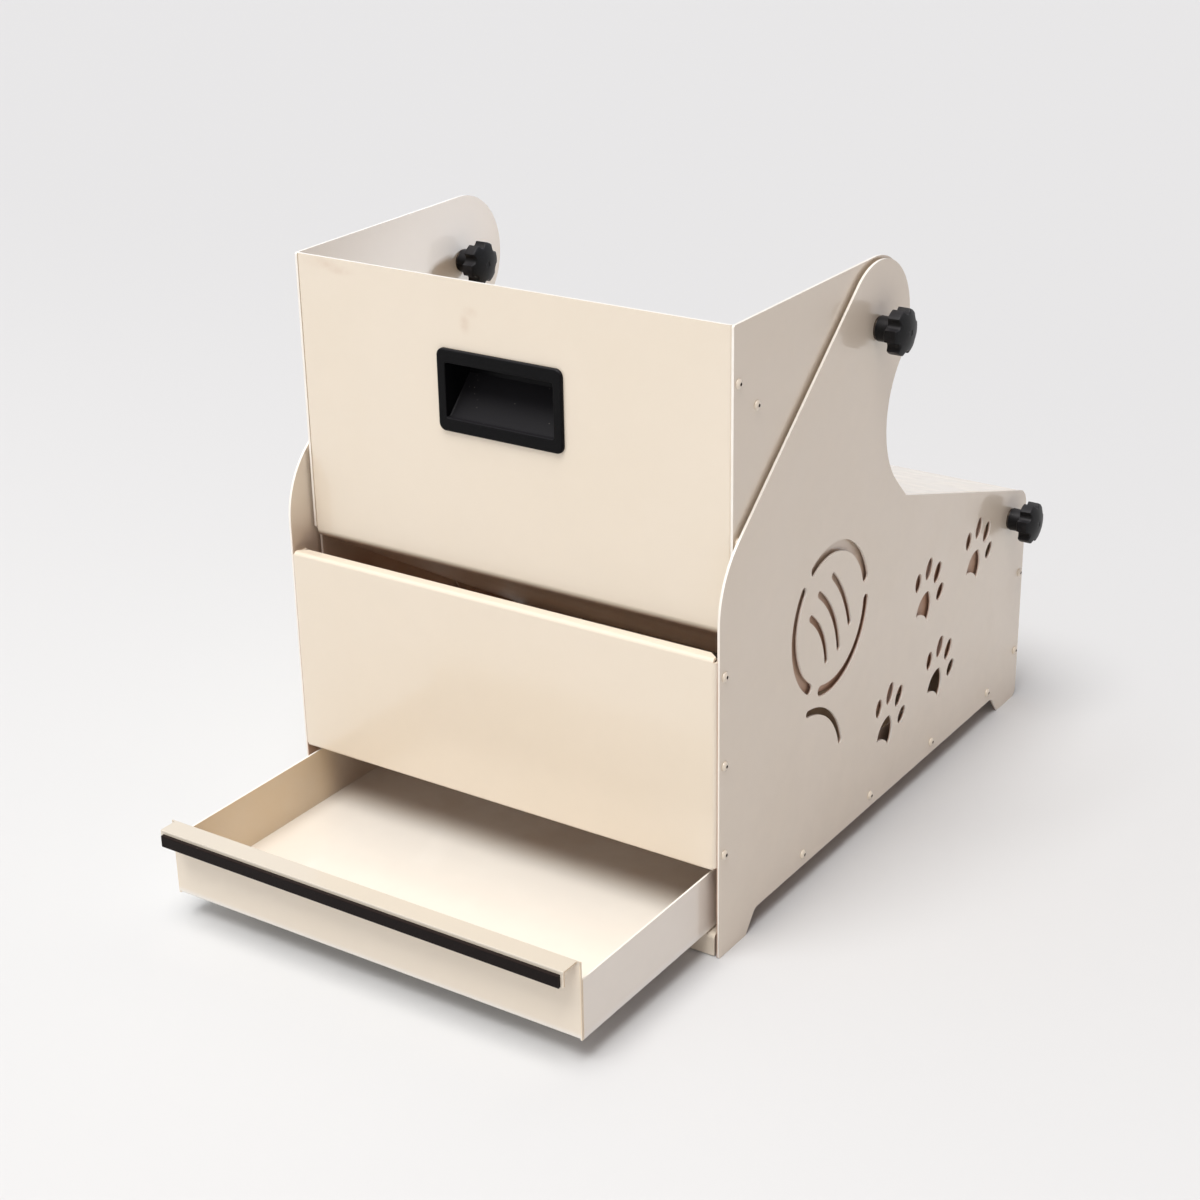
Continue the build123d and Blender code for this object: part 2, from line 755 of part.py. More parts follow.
knobs = {
    "right_pivot": (right_knob_base, 1, pivot_y, pivot_z),
    "left_pivot": (left_knob_base, 1, pivot_y, pivot_z),
    "right_deck": (right_knob_base, 1, deck_pivot_y, deck_pivot_z),
    "left_deck": (-right_knob_base, -1, deck_pivot_y, deck_pivot_z),
}
for name, (x, direction, y, z) in knobs.items():
    seat = Plane(origin=(x, front_y + y, z), x_dir=(0, 1, 0), z_dir=(direction, 0, 0)).location
    with BuildPart() as placed_knob:
        add(seat * star_knob.part)
    placed_knob.part.label = f"{name}_knob"
    export_step(placed_knob.part, f"parts/{name}_knob.step")
    with BuildPart() as placed_insert:
        add(seat * knob_insert.part)
    placed_insert.part.label = f"{name}_knob_insert"
    export_step(placed_insert.part, f"parts/{name}_knob_insert.step")

# Waste drawer: a folded pan whose front stands higher than its sides and carries a grip lip
with BuildPart() as drawer_pan:
    add(
        fold_sheet(
            side_plane(-drawer_half),
            [
                (drawer_front - lip_depth, drawer_front_top - lip_drop),
                (drawer_front - lip_depth, drawer_front_top),
                (drawer_front + drawer_sheet, drawer_front_top),
                (drawer_front + drawer_sheet, drawer_bottom + drawer_sheet),
                (drawer_rear - drawer_sheet, drawer_bottom + drawer_sheet),
                (drawer_rear - drawer_sheet, drawer_wall_top),
            ],
            0.8,
            drawer_sheet,
            2 * drawer_half,
        )
    )
    for x in (-drawer_half, drawer_half - drawer_sheet):
        with BuildSketch(side_plane(x)):
            with Locations((drawer_front, drawer_bottom)):
                Rectangle(drawer_rear - drawer_front, drawer_wall_top - drawer_bottom, align=(Align.MIN, Align.MIN))
        extrude(amount=drawer_sheet)
    for x in (-drawer_half, lip_half):
        with BuildSketch(side_plane(x)):
            with Locations((drawer_front - lip_depth - 1, drawer_front_top - lip_drop - 1)):
                Rectangle(lip_depth + 1, lip_drop + 2, align=(Align.MIN, Align.MIN))
        extrude(amount=drawer_half - lip_half, mode=Mode.SUBTRACT)
    for x in (-drawer_half, drawer_half - seam_width):
        with BuildSketch(side_plane(x)):
            with Locations((drawer_front + drawer_sheet, drawer_bottom + drawer_sheet)):
                Rectangle(seam_width, drawer_front_top - drawer_bottom, align=(Align.MIN, Align.MIN))
        extrude(amount=seam_width, mode=Mode.SUBTRACT)
drawer_pan.part.label = "drawer_pan"
export_step(drawer_pan.part, "parts/drawer_pan.step")

# Rubber grip strip on the lip's turned-down edge
strip_half = 184.5
strip_depth = drawer_reach + drawer_front - lip_depth
strip_height = 10.0
strip_top = drawer_front_top - 3.0

with BuildPart() as grip_strip:
    with BuildSketch(side_plane(-strip_half)) as strip_profile:
        with Locations((drawer_front - lip_depth, strip_top)):
            Rectangle(strip_depth, strip_height, align=(Align.MAX, Align.MAX))
        fillet(strip_profile.vertices().group_by(Axis.X)[0], 1)
    extrude(amount=2 * strip_half)
grip_strip.part.label = "grip_strip"
export_step(grip_strip.part, "parts/grip_strip.step")

# Clear bumper feet under the drawer
bumper_radius = 5.0
bumper_height = drawer_bottom - base_top - 0.2

with BuildPart() as drawer_bumpers:
    with BuildSketch(Plane.XY.offset(drawer_bottom)):
        with Locations((0, front_y + (drawer_front + drawer_rear) / 2)):
            with GridLocations(2 * drawer_half - 18, drawer_rear - drawer_front - 40, 2, 2):
                Circle(bumper_radius)
    extrude(amount=-bumper_height, taper=12)
drawer_bumpers.part.label = "drawer_bumpers"
export_step(drawer_bumpers.part, "parts/drawer_bumpers.step")
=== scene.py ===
import math

import bmesh
import bpy
from mathutils import Matrix, Vector


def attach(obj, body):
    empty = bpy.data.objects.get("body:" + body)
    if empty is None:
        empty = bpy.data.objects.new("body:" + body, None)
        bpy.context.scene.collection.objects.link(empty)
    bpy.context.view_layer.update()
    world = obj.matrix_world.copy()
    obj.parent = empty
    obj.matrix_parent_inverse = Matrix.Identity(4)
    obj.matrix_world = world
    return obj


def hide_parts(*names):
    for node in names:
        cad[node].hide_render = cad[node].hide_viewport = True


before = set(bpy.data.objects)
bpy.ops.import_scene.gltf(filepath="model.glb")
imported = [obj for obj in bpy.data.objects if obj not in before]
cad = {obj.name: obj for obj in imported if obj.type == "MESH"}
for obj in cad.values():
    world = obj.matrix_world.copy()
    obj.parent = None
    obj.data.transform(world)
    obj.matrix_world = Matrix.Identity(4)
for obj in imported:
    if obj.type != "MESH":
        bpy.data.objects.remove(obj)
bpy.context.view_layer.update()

scene = bpy.context.scene

# Viewpoint: a long lens in front of the box and to its right, looking down into the open drawer.
# Its place and turns were fitted to the corners and edges of the box.
camera_heading, camera_dip, camera_roll = 34.107, 23.484, -1.134
camera = bpy.data.objects.new("camera", bpy.data.cameras.new("camera"))
camera.data.lens = 67.96
camera.data.sensor_width = 36
camera.data.clip_end = 60
camera.matrix_world = (
    Matrix.Translation((0.94905, -1.43139, 0.93229))
    @ Matrix.Rotation(math.radians(camera_heading), 4, "Z")
    @ Matrix.Rotation(math.radians(90 - camera_dip), 4, "X")
    @ Matrix.Rotation(math.radians(camera_roll), 4, "Z")
)
scene.collection.objects.link(camera)
scene.camera = camera

# Room light: an even studio, brighter from the front left and slightly rosy on the right, with a
# broad lamp high at the front. A small cool panel behind the box sends a narrow beam into the
# bucket.


def shader(tree, kind, inputs=(), **settings):
    """A shader node with its settings made, and its sockets set to values or joined to sockets."""
    made = tree.nodes.new(kind)
    for name, value in settings.items():
        setattr(made, name, value)
    for socket, value in dict(inputs).items():
        if isinstance(value, bpy.types.NodeSocket):
            tree.links.new(value, made.inputs[socket])
        else:
            made.inputs[socket].default_value = value
    return made


def maths(tree, operation, *values):
    """The result of a Math node."""
    return shader(tree, "ShaderNodeMath", dict(enumerate(values)), operation=operation).outputs[0]


def ramp(tree, value, low, high, result_low=0.0, result_high=1.0):
    """A smooth step of a value from one range to another."""
    ends = {
        "Value": value,
        "From Min": low,
        "From Max": high,
        "To Min": result_low,
        "To Max": result_high,
    }
    made = shader(tree, "ShaderNodeMapRange", ends, interpolation_type="SMOOTHSTEP")
    return made.outputs["Result"]


def blend(tree, share, first, second):
    """A mix of two colours."""
    ends = {0: share, 6: first, 7: second}
    return shader(tree, "ShaderNodeMix", ends, data_type="RGBA").outputs[2]


def along(tree, vector, way):
    """How far a vector reaches along a way."""
    made = shader(tree, "ShaderNodeVectorMath", {0: vector, 1: way}, operation="DOT_PRODUCT")
    return made.outputs["Value"]


world = scene.world or bpy.data.worlds.new("studio")
scene.world = world
world.use_nodes = True
sky = world.node_tree
sky.nodes.clear()
heading = shader(sky, "ShaderNodeTexCoord").outputs["Generated"]
frontal = along(sky, heading, (-0.75, -0.66, 0.0))
rightward = along(sky, heading, (0.94, 0.34, 0.0))
white_light, rosy_light = (1, 0.995, 0.985, 1), (1, 0.71, 0.67, 1)
tint = blend(sky, ramp(sky, rightward, 0.0, 0.7), white_light, rosy_light)
dim, bright = 0.17, 0.73
strength = ramp(sky, frontal, -0.9, 0.9, dim, bright)
room = shader(sky, "ShaderNodeBackground", {"Color": tint, "Strength": strength})
pale_grey = (0.85, 0.855, 0.87, 1)
backdrop = shader(sky, "ShaderNodeBackground", {"Color": pale_grey, "Strength": 1})
ray = shader(sky, "ShaderNodeLightPath").outputs
seen = maths(sky, "MAXIMUM", ray["Is Camera Ray"], ray["Is Glossy Ray"])
seen = maths(sky, "MAXIMUM", seen, ray["Is Transmission Ray"])
mixed = shader(sky, "ShaderNodeMixShader", {0: seen, 1: room.outputs[0], 2: backdrop.outputs[0]})
shader(sky, "ShaderNodeOutputWorld", {"Surface": mixed.outputs[0]})


def light(name, kind, place, back, energy, colour):
    """A light at a place; back points away from where it shines."""
    made = bpy.data.objects.new(name, bpy.data.lights.new(name, kind))
    made.data.energy = energy
    made.data.color = colour
    turn = Vector(back).to_track_quat("Z", "Y").to_matrix().to_4x4()
    made.matrix_world = Matrix.Translation(place) @ turn
    scene.collection.objects.link(made)
    return made


broad_lamp = light("broad_lamp", "SUN", (0, 0, 0), (0, -0.35, 0.937), 2.88, (1, 0.99, 0.97))
broad_lamp.data.angle = math.radians(40)

panel_place, panel_aim = Vector((0.25, 0.75, 0.75)), Vector((-0.195, -0.05, 0.42))
panel = light("cool_panel", "AREA", panel_place, panel_place - panel_aim, 0.21, (0.68, 0.8, 1))
panel.data.shape = "DISK"
panel.data.size = 0.2
panel.data.spread = math.radians(18)
panel.visible_camera = False
panel.visible_glossy = False
scene.view_settings.view_transform = "Standard"

# Floor: one wide sheet of pale studio board under the box. It has a matt face whose colour is
# painted darker towards the back, a painted falloff of the lamp's light.
floor_build = bmesh.new()
bmesh.ops.create_grid(floor_build, x_segments=1, y_segments=1, size=16)
floor_mesh = bpy.data.meshes.new("floor")
floor_build.to_mesh(floor_mesh)
floor_build.free()
floor = bpy.data.objects.new("floor", floor_mesh)
scene.collection.objects.link(floor)


def spot(tree):
    """The place on the piece, in metres."""
    return shader(tree, "ShaderNodeTexCoord").outputs["Object"]


def split(tree, vector):
    """The X, Y and Z of a vector."""
    return shader(tree, "ShaderNodeSeparateXYZ", {0: vector}).outputs


board = bpy.data.materials.new("studio_board")
board.use_nodes = True
tree = board.node_tree
# Painted light falloff: the board's colour runs from the paler front tone to the darker back tone.
near_tone, far_tone = (0.705, 0.712, 0.722, 1), (0.615, 0.622, 0.637, 1)
board_tone = blend(tree, ramp(tree, split(tree, spot(tree))["Y"], -1.2, 1.5), near_tone, far_tone)
board_face = tree.nodes["Principled BSDF"]
tree.links.new(board_tone, board_face.inputs["Base Color"])
board_face.inputs["Roughness"].default_value = 0.75
board_face.inputs["Specular IOR Level"].default_value = 0.15
floor_mesh.materials.append(board)

# Side panels: two laser-cut 2 mm steel plates in a glossy cream powder coat. The coat has a fine
# orange peel. Its cut edges carry a painted highlight, and the faces inside the box carry painted
# brown shade that deepens towards the bottom. The plates carry everything else.


def skin_group(name, inputs, outputs):
    """A shader node group with named sockets, and the sockets of its inner input node."""
    made = bpy.data.node_groups.new(name, "ShaderNodeTree")
    for label, (kind, value) in inputs.items():
        socket = made.interface.new_socket(label, in_out="INPUT", socket_type=kind)
        socket.default_value = value
    for label, kind in outputs.items():
        made.interface.new_socket(label, in_out="OUTPUT", socket_type=kind)
    return made, shader(made, "NodeGroupInput").outputs


def noise(tree, place, scale, detail=2.0, roughness=0.5):
    """A noise pattern's value."""
    ends = {"Vector": place, "Scale": scale, "Detail": detail, "Roughness": roughness}
    return shader(tree, "ShaderNodeTexNoise", ends).outputs[0]


def outward(tree):
    """The direction in which the surface faces."""
    return shader(tree, "ShaderNodeTexCoord").outputs["Normal"]


def relief(tree, height):
    """The surface's normal with a height in metres laid on it."""
    ends = {"Strength": 1.0, "Distance": 1.0, "Height": height}
    return shader(tree, "ShaderNodeBump", ends).outputs[0]


NUMBER, TINT, DIRECTION = "NodeSocketFloat", "NodeSocketColor", "NodeSocketVector"
cream, deep_cream = (0.8, 0.705, 0.583, 1), (0.785, 0.69, 0.563, 1)
coat_group, given = skin_group(
    "powder_coat_skin",
    {
        "Colour": (TINT, cream),
        "Deep Colour": (TINT, deep_cream),
        # The pale colour of the painted highlight on cut edges.
        "Edge Highlight Colour": (TINT, (0.93, 0.89, 0.83, 1)),
        "Mark And Shade Colour": (TINT, (0.46, 0.34, 0.2, 1)),
        "Edge": (NUMBER, 0.0),
        "Marks And Shade": (NUMBER, 0.0),
        "Peel": (NUMBER, 1.0),
        "Sway": (NUMBER, 5e-5),
    },
    {"Colour": TINT, "Roughness": NUMBER, "Coat": NUMBER, "Normal": DIRECTION},
)
place = spot(coat_group)
clouds = noise(coat_group, place, 9, 3, 0.6)
cloud_share = ramp(coat_group, clouds, 0.36, 0.68, 0, 0.5)
fleck_share = ramp(coat_group, noise(coat_group, place, 620, 1), 0.6, 0.85, 0, 0.2)
tone = blend(coat_group, cloud_share, given["Colour"], given["Deep Colour"])
tone = blend(coat_group, fleck_share, tone, given["Deep Colour"])
# Painted highlight on the cut edges.
tone = blend(coat_group, given["Edge"], tone, given["Edge Highlight Colour"])
# The marks input carries real stains and dust, and painted shade where a material feeds shade into
# it.
tone = blend(coat_group, given["Marks And Shade"], tone, given["Mark And Shade Colour"])
peel_depth = maths(coat_group, "MULTIPLY", given["Peel"], 1.1e-5)
peel = maths(coat_group, "MULTIPLY", noise(coat_group, place, 380, 2), peel_depth)
sway = maths(coat_group, "MULTIPLY", noise(coat_group, place, 11, 1), given["Sway"])
haze = maths(coat_group, "MULTIPLY_ADD", clouds, 0.1, 0.27)
gloss = ramp(coat_group, noise(coat_group, place, 30, 3), 0.3, 0.62, 0.75, 0.95)
clean = maths(coat_group, "MULTIPLY_ADD", given["Marks And Shade"], -1.7, gloss)
finish = {
    "Colour": tone,
    "Roughness": maths(coat_group, "MULTIPLY_ADD", given["Marks And Shade"], 0.25, haze),
    "Coat": maths(coat_group, "MAXIMUM", clean, 0.0),
    "Normal": relief(coat_group, maths(coat_group, "ADD", peel, sway)),
}
shader(coat_group, "NodeGroupOutput", finish)

surface_sockets = {
    "Colour": "Base Color",
    "Roughness": "Roughness",
    "Coat": "Coat Weight",
    "Normal": "Normal",
}


def skinned(name, group, values, plain):
    """A material that takes a group's outputs and plain values for its other sockets.

    A function given as a value makes its mask or colour in the material's node tree.
    """
    material = bpy.data.materials.new(name)
    material.use_nodes = True
    tree = material.node_tree
    ends = {label: value(tree) if callable(value) else value for label, value in values.items()}
    surface = tree.nodes["Principled BSDF"]
    for output in shader(tree, "ShaderNodeGroup", ends, node_tree=group).outputs:
        tree.links.new(output, surface.inputs[surface_sockets[output.name]])
    for socket, value in plain.items():
        surface.inputs[socket].default_value = value
    return material


def powder_coat(name, values):
    """The cream powder coat."""
    return skinned(name, coat_group, values, {"Coat Roughness": 0.09, "Coat IOR": 1.5})


def facing(tree, axis):
    """How squarely the surface faces along an axis, either way, from 0 to 1."""
    return maths(tree, "ABSOLUTE", along(tree, outward(tree), axis))


def plate_rim_highlight(tree):
    """A painted highlight on the cut rim of a plate that stands across X, with a little unevenness.
    """
    rim = ramp(tree, facing(tree, (1, 0, 0)), 0.9, 0.45)
    uneven = ramp(tree, noise(tree, spot(tree), 60, 2), 0.2, 0.7, 0.72, 1.0)
    return maths(tree, "MULTIPLY", rim, uneven)


panel_inside, edge_fade = 0.1986, 0.0003
# Painted shade inside the box begins at the first height and is full at the second.
inner_shade_top, inner_shade_full = 0.3, 0.2


def inner_painted_shade(tree):
    """Painted brown shade on the faces that lie inside the box, deeper towards the bottom."""
    place = spot(tree)
    parts = split(tree, place)
    side = maths(tree, "ABSOLUTE", parts["X"])
    inner = ramp(tree, side, panel_inside + edge_fade, panel_inside)
    low = ramp(tree, parts["Z"], inner_shade_top, inner_shade_full, 0, 0.8)
    patchy = ramp(tree, noise(tree, place, 12, 3), 0.3, 0.7, 0.75, 1)
    return maths(tree, "MULTIPLY", maths(tree, "MULTIPLY", inner, low), patchy)


def soften(name, width, material):
    """Joins a CAD node's facets, rounds its edges and gives it its material."""
    body = cad[name]
    joined = body.modifiers.new("joined_facets", "WELD")
    joined.merge_threshold = 1e-5
    rounding = body.modifiers.new("rounded_edges", "BEVEL")
    rounding.width = width
    rounding.segments = 2
    rounding.limit_method = "ANGLE"
    rounding.angle_limit = math.radians(35)
    even = body.modifiers.new("even_shading", "WEIGHTED_NORMAL")
    even.keep_sharp = True
    body.data.materials.clear()
    body.data.materials.append(material)


# Brown for the real rubbed marks, and for painted shade inside the box and under the bucket's
# floors.
stain_and_shade_brown = (0.41, 0.19, 0.095, 1)
# Plate coat: painted highlight on the cut rims, painted brown shade inside the box.
plate_coat = powder_coat(
    "plate_powder_coat", {"Edge": plate_rim_highlight, "Marks And Shade": inner_painted_shade, "Mark And Shade Colour": stain_and_shade_brown}
)
for name in ("left_side_panel", "right_side_panel"):
    soften(name, 0.0004, plate_coat)

# Lower front panel, base and back: folded from the same 2 mm sheet and screwed between the side
# panels, in the same coat. Their soft bends gleam.
fold_coat = powder_coat("fold_powder_coat", {})
for name in ("lower_front_panel", "base_plate", "rear_panel"):
    soften(name, 0.0005, fold_coat)

# Housing fasteners: M4 button-head screws in cream, each with a small dark socket, and blackened
# hexagon nuts inside. They hold the folded sheets between the side panels.


def hexagon(across):
    """Distance to the rim of a hexagon, by angle, with corners at 0, 60 ... degrees."""

    def rim(angle):
        off_flat = angle % math.radians(60) - math.radians(30)
        return across / 2 / math.cos(off_flat)

    return rim


def turned(rings, count=48):
    """A closed skin drawn up from ring to ring, in millimetres.

    A ring is a height and a radius. A radius may depend on the angle, and a height on the radius.
    """
    build = bmesh.new()
    verts = bmesh.ops.create_circle(build, segments=count, radius=1)["verts"]
    edges = list(build.edges)
    for number, (height, radius) in enumerate(rings):
        if number:
            pulled = bmesh.ops.extrude_edge_only(build, edges=edges)["geom"]
            verts = [part for part in pulled if isinstance(part, bmesh.types.BMVert)]
            edges = [part for part in pulled if isinstance(part, bmesh.types.BMEdge)]
        for vert in verts:
            angle = math.atan2(vert.co.y, vert.co.x) % math.tau
            out = radius(angle) if callable(radius) else radius
            up = height(out) if callable(height) else height
            vert.co = (out * math.cos(angle), out * math.sin(angle), up)
    bmesh.ops.remove_doubles(build, verts=build.verts, dist=1e-4)
    open_edges = [edge for edge in build.edges if edge.is_boundary]
    bmesh.ops.holes_fill(build, edges=open_edges, sides=0)
    bmesh.ops.recalc_face_normals(build, faces=build.faces)
    bmesh.ops.scale(build, vec=(0.001, 0.001, 0.001), verts=build.verts)
    return build


def copies(pattern, places):
    """One bmesh with a copy of a pattern at each place; the pattern is used up."""
    shape = bpy.data.meshes.new("pattern")
    pattern.to_mesh(shape)
    pattern.free()
    build = bmesh.new()
    for place in places:
        held = len(build.verts)
        build.from_mesh(shape)
        build.verts.ensure_lookup_table()
        bmesh.ops.transform(build, matrix=place, verts=build.verts[held:])
    bpy.data.meshes.remove(shape)
    return build


def fit_piece(name, build, materials, body, slot, *nodes):
    """Makes a finished bmesh a piece that rides on a body and stands for CAD nodes."""
    for edge in build.edges:
        edge.smooth = edge.calc_face_angle(0) < math.radians(38)
    for face in build.faces:
        face.smooth = True
    mesh = bpy.data.meshes.new(name)
    build.to_mesh(mesh)
    build.free()
    for material in materials:
        mesh.materials.append(material)
    made = bpy.data.objects.new(name, mesh)
    scene.collection.objects.link(made)
    even = made.modifiers.new("even_shading", "WEIGHTED_NORMAL")
    even.keep_sharp = True
    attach(made, body)
    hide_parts(*nodes)


metal_group, given = skin_group(
    "metal_skin",
    {
        "Colour": (TINT, (0.62, 0.63, 0.65, 1)),
        "Dull Colour": (TINT, (0.48, 0.49, 0.52, 1)),
        "Stretch": (DIRECTION, (1.0, 1.0, 1.0)),
        "Grain": (NUMBER, 300.0),
        "Depth": (NUMBER, 4e-6),
    },
    {"Colour": TINT, "Roughness": NUMBER, "Normal": DIRECTION},
)
place = spot(metal_group)
stretch_ends = {0: place, 1: given["Stretch"]}
stretched = shader(metal_group, "ShaderNodeVectorMath", stretch_ends, operation="MULTIPLY")
grain = noise(metal_group, stretched.outputs[0], given["Grain"], 3, 0.6)
bloom = ramp(metal_group, noise(metal_group, place, 160, 2), 0.35, 0.65)
finish = {
    "Colour": blend(metal_group, bloom, given["Colour"], given["Dull Colour"]),
    "Roughness": ramp(metal_group, grain, 0.25, 0.75, 0.24, 0.42),
    "Normal": relief(metal_group, maths(metal_group, "MULTIPLY", grain, given["Depth"])),
}
shader(metal_group, "NodeGroupOutput", finish)


def metal(name, values):
    """A bare or plated metal."""
    return skinned(name, metal_group, values, {"Metallic": 1.0})


screw_coat = powder_coat("screw_powder_coat", {"Peel": 0.4})
socket_steel = metal(
    "dark_socket_steel", {"Colour": (0.2, 0.17, 0.14, 1), "Dull Colour": (0.1, 0.08, 0.07, 1)}
)
black_steel = metal(
    "blackened_steel", {"Colour": (0.12, 0.095, 0.08, 1), "Dull Colour": (0.07, 0.055, 0.045, 1)}
)
screw_reach = 8.0
socket = hexagon(2.5)
nut_rim = hexagon(7.0)
nut_height, nut_face_radius, nut_bore, nut_slope = 3.2, 3.35, 2.0, 0.55


def screw():
    """A button-head screw along +Z, its head seated at 0: coated head, dark socket, black shank."""
    build = turned(
        [
            (-screw_reach, 1.5), (-screw_reach + 0.5, 2.0), (0, 2.0), (0, 3.85), (0.25, 4.0),
            (0.8, 3.88), (1.4, 3.4), (1.85, 2.7), (2.12, 2.0), (2.2, hexagon(2.8)), (2.05, socket),
            (0.9, socket),
        ],
        36,
    )
    coated, dark, black = range(3)
    for face in build.faces:
        middle = face.calc_center_median() * 1000
        in_socket = math.hypot(middle.x, middle.y) < 1.4 and middle.z < 2.06
        face.material_index = black if middle.z < -0.01 else (dark if in_socket else coated)
    return build


def nut():
    """A chamfered M4 hexagon nut along +Z from 0."""

    def low_chamfer(out):
        return nut_slope * (out - nut_face_radius)

    def high_chamfer(out):
        return nut_height - low_chamfer(out)

    return turned(
        [
            (0.25, nut_bore), (0, 2.3), (0, nut_face_radius), (low_chamfer, nut_rim),
            (high_chamfer, nut_rim), (nut_height, nut_face_radius), (nut_height, 2.3),
            (2.95, nut_bore), (0.25, nut_bore),
        ],
        36,
    )


front_y = -0.175
turn_step = 0.7


def side_places(spots, x, turn=0.0):
    """Places on the right at x, pointing along +X, and on the left at -x, pointing along -X.

    The spots are distances from the housing's front and from the floor, in millimetres.
    """
    made = []
    for side in (1, -1):
        for number, (y, z) in enumerate(spots):
            made.append(
                Matrix.Translation((side * x, front_y + y / 1000, z / 1000))
                @ Matrix.Rotation(side * math.radians(90), 4, "Y")
                @ Matrix.Rotation(turn + turn_step * number, 4, "Z")
            )
    return made


screw_materials = [screw_coat, socket_steel, black_steel]
panel_face, panel_nut_seat = 0.2, 0.1928
base_start, base_step = 129.3, 114.8
housing_spots = [(7.5, 87), (7.5, 161), (7.5, 233)]
housing_spots += [(base_start + base_step * step, 28) for step in range(4)]
housing_spots += [(531, 48), (531, 126)]
build = copies(screw(), side_places(housing_spots, panel_face))
fit_piece(
    "housing_button_screws", build, screw_materials, "housing", "cream_powder_coat",
    "housing_screws",
)
build = copies(nut(), side_places(housing_spots, panel_nut_seat))
fit_piece(
    "housing_hexagon_nuts", build, [black_steel], "housing", "plated_steel", "housing_nuts"
)

# Tilting bucket: two side plates, a front wall and floor folded in one, and a rising rear floor,
# all of 2 mm sheet. The front wall's cut top edge carries a painted highlight, a few rubbed brown
# finger marks lie below it and above the pull, and the floors' downward faces carry painted brown
# shade.
# Painted highlight on cut edges: faces looking along X, and faces looking up in a band from a
# height to about 3 mm above it.
edge_highlight_group, given = skin_group("edge_highlights", {"Height": (NUMBER, 0.5)}, {"Mask": NUMBER})
above = maths(edge_highlight_group, "SUBTRACT", split(edge_highlight_group, spot(edge_highlight_group))["Z"], given["Height"])
band_start = ramp(edge_highlight_group, above, -0.001, 0)
band_end = ramp(edge_highlight_group, above, 0.004, 0.003)
band = maths(edge_highlight_group, "MULTIPLY", band_start, band_end)
upward = ramp(edge_highlight_group, facing(edge_highlight_group, (0, 0, 1)), 0.8, 0.97)
sideways = ramp(edge_highlight_group, facing(edge_highlight_group, (1, 0, 0)), 0.9, 1.0, 0, 0.6)
top_edge = maths(edge_highlight_group, "MULTIPLY", upward, band)
edge_highlight_mask = maths(edge_highlight_group, "MAXIMUM", top_edge, sideways)
shader(edge_highlight_group, "NodeGroupOutput", {"Mask": edge_highlight_mask})

# Painted shade: faces that look down turn brown, patchily.
underside_shade_group, _ = skin_group("underside_painted_shade", {}, {"Mask": NUMBER})
downward = ramp(underside_shade_group, split(underside_shade_group, outward(underside_shade_group))["Z"], -0.2, -0.7, 0, 0.6)
patchy = ramp(underside_shade_group, noise(underside_shade_group, spot(underside_shade_group), 12, 3), 0.3, 0.7, 0.85, 1)
underside_shade_mask = maths(underside_shade_group, "MULTIPLY", downward, patchy)
shader(underside_shade_group, "NodeGroupOutput", {"Mask": underside_shade_mask})


def edge_highlights(height):
    """A mask of painted highlights on the cut edges that lie across X, or face up at a height and 3
    mm above it.
    """
    return lambda tree: shader(
        tree, "ShaderNodeGroup", {"Height": height}, node_tree=edge_highlight_group
    ).outputs["Mask"]


def underside_painted_shade(tree):
    """Painted brown shade on the faces that look down."""
    return shader(tree, "ShaderNodeGroup", node_tree=underside_shade_group).outputs["Mask"]


finger_marks = (  # x, z, half width, half height, strength
    (-0.172, 0.4835, 0.024, 0.006, 0.24),
    (-0.152, 0.480, 0.020, 0.005, 0.18),
    (-0.0345, 0.4555, 0.007, 0.011, 0.2),
    (-0.029, 0.465, 0.010, 0.006, 0.15),
)


def front_marks_and_shade(tree):
    """Faint brown rubbed marks on the front wall, and the painted brown shade under its floor."""
    place = spot(tree)
    level = 0.0
    for x, z, wide, high, strength in finger_marks:
        ends = {0: place, 1: (x, 0, z)}
        offset = shader(tree, "ShaderNodeVectorMath", ends, operation="SUBTRACT").outputs[0]
        ends = {0: offset, 1: (1 / wide, 0, 1 / high)}
        scaled = shader(tree, "ShaderNodeVectorMath", ends, operation="MULTIPLY").outputs[0]
        reach = shader(tree, "ShaderNodeVectorMath", {0: scaled}, operation="LENGTH")
        mark = ramp(tree, reach.outputs["Value"], 1.0, 0.1, 0, strength)
        level = maths(tree, "MAXIMUM", level, mark)
    patchy = ramp(tree, noise(tree, place, 70, 3, 0.6), 0.35, 0.68, 0.25, 1)
    return maths(tree, "MAXIMUM", maths(tree, "MULTIPLY", level, patchy), underside_painted_shade(tree))


for name in ("right_bucket_wing", "left_bucket_wing"):
    soften(name, 0.0004, plate_coat)
front_top = 0.4875
front_coat = powder_coat(
    "front_powder_coat",
    {"Edge": edge_highlights(front_top), "Marks And Shade": front_marks_and_shade, "Mark And Shade Colour": stain_and_shade_brown},
)
# The rear floor's downward faces carry painted brown shade.
rear_coat = powder_coat("rear_powder_coat", {"Marks And Shade": underside_painted_shade, "Mark And Shade Colour": stain_and_shade_brown})
soften("bucket_front_sheet", 0.0005, front_coat)
soften("bucket_rear_sheet", 0.0005, rear_coat)

# Sieve: a slotted stainless strip between the bucket's two floors, brushed along its length.
# Clumps stay on it, and fine litter falls through its slots into the drawer.
stainless = metal(
    "brushed_stainless", {"Grain": 90.0, "Stretch": (1.0, 14.0, 14.0), "Depth": 6e-6}
)
soften("sieve_plate", 0.0002, stainless)

